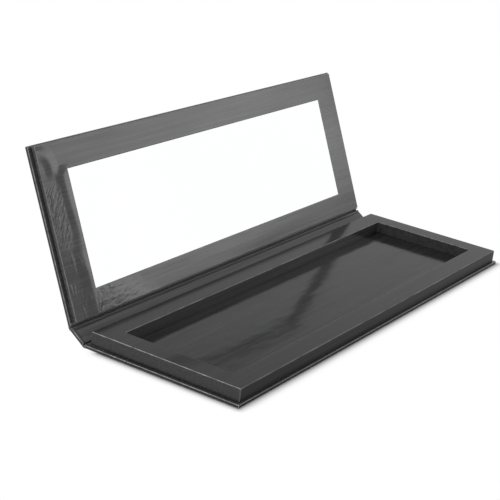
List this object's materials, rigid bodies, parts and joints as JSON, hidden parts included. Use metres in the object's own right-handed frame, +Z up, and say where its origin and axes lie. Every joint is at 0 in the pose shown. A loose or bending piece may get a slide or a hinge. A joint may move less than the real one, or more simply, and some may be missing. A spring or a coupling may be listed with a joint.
{
  "type": "makeup palette",
  "caption": "Empty book-style cardboard makeup palette, standing open: a raised tray with a long magnetic well for pans, a folding spine strip and a lid with a framed mirror.",
  "frame": {"origin": "centre of the base cover's underside, on the table", "axes": "+X along the folds to the right of someone facing the open palette, +Y towards the spine and lid at the back, +Z up"},
  "size_m": [0.254, 0.1193, 0.0797],
  "materials": {
    "greyboard": "matte",
    "gloss_black_paper": "gloss",
    "black_lining_paper": "gloss",
    "gloss_black_floor": "gloss",
    "rubber_magnet": "matte",
    "nickel_plate": "polished",
    "tinned_steel": "satin",
    "silvered_glass": "polished",
    "foam_tape": "matte"
  },
  "bodies": {
    "tray_base": {"base_cover_board": "greyboard", "base_cover_wrap": "gloss_black_paper", "base_lining_strip": "black_lining_paper", "tray_lower_ply": "greyboard", "tray_upper_ply": "greyboard", "tray_wrap": "gloss_black_paper", "magnetic_sheet": "rubber_magnet", "well_floor_paper": "gloss_black_floor", "closure_magnet_left": "nickel_plate", "closure_magnet_right": "nickel_plate"},
    "spine": {"spine_board": "greyboard", "spine_wrap": "gloss_black_paper", "spine_lining_strip": "black_lining_paper"},
    "lid": {"lid_cover_board": "greyboard", "lid_cover_wrap": "gloss_black_paper", "lid_lining_strip": "black_lining_paper", "mirror_frame_board": "greyboard", "mirror_frame_wrap": "gloss_black_paper", "mirror_tape": "foam_tape", "mirror_glass": "silvered_glass", "closure_plate_left": "tinned_steel", "closure_plate_right": "tinned_steel"}
  },
  "joints": [
    {"name": "spine_fold", "type": "hinge", "parent": "tray_base", "child": "spine", "pos_m": [0, 0.03965, 0.00075], "axis": [1, 0, 0], "range_deg": [-34.5, 55.5]},
    {"name": "lid_fold", "type": "hinge", "parent": "spine", "child": "lid", "pos_m": [0, 0.04777, 0.00633], "axis": [1, 0, 0], "range_deg": [-32.4, 57.6]}
  ]
}
